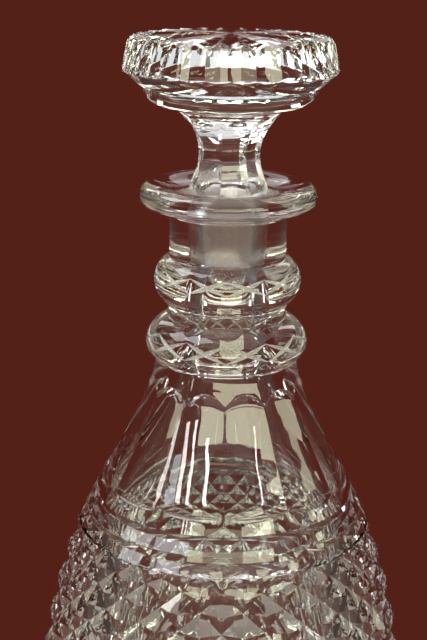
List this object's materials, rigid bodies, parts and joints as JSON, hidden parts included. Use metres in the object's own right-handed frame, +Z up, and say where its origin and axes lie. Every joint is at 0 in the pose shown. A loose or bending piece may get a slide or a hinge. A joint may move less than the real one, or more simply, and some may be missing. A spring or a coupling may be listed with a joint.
{
  "type": "cut crystal decanter",
  "caption": "Cut crystal decanter with a mushroom stopper ground into its neck, ringed neck, fluted shoulder and relief-diamond body.",
  "frame": {"origin": "centre of the standing face, on the surface that the decanter stands on", "axes": "+Z up along the axis of bottle and stopper; -Y faces the viewer"},
  "size_m": [0.12, 0.12, 0.265],
  "materials": {
    "bottle_crystal": "clear lead crystal, wheel-cut and polished, ground inside the neck",
    "stopper_crystal": "clear lead crystal, wheel-cut and polished, with a frosted ground plug"
  },
  "bodies": {
    "bottle_body": {"bottle": "bottle_crystal"},
    "stopper_body": {"stopper": "stopper_crystal"}
  },
  "joints": [
    {"name": "stopper_lift", "type": "slide", "parent": "bottle_body", "child": "stopper_body", "axis": [0, 0, 1], "range_m": [0, 0.05]}
  ]
}
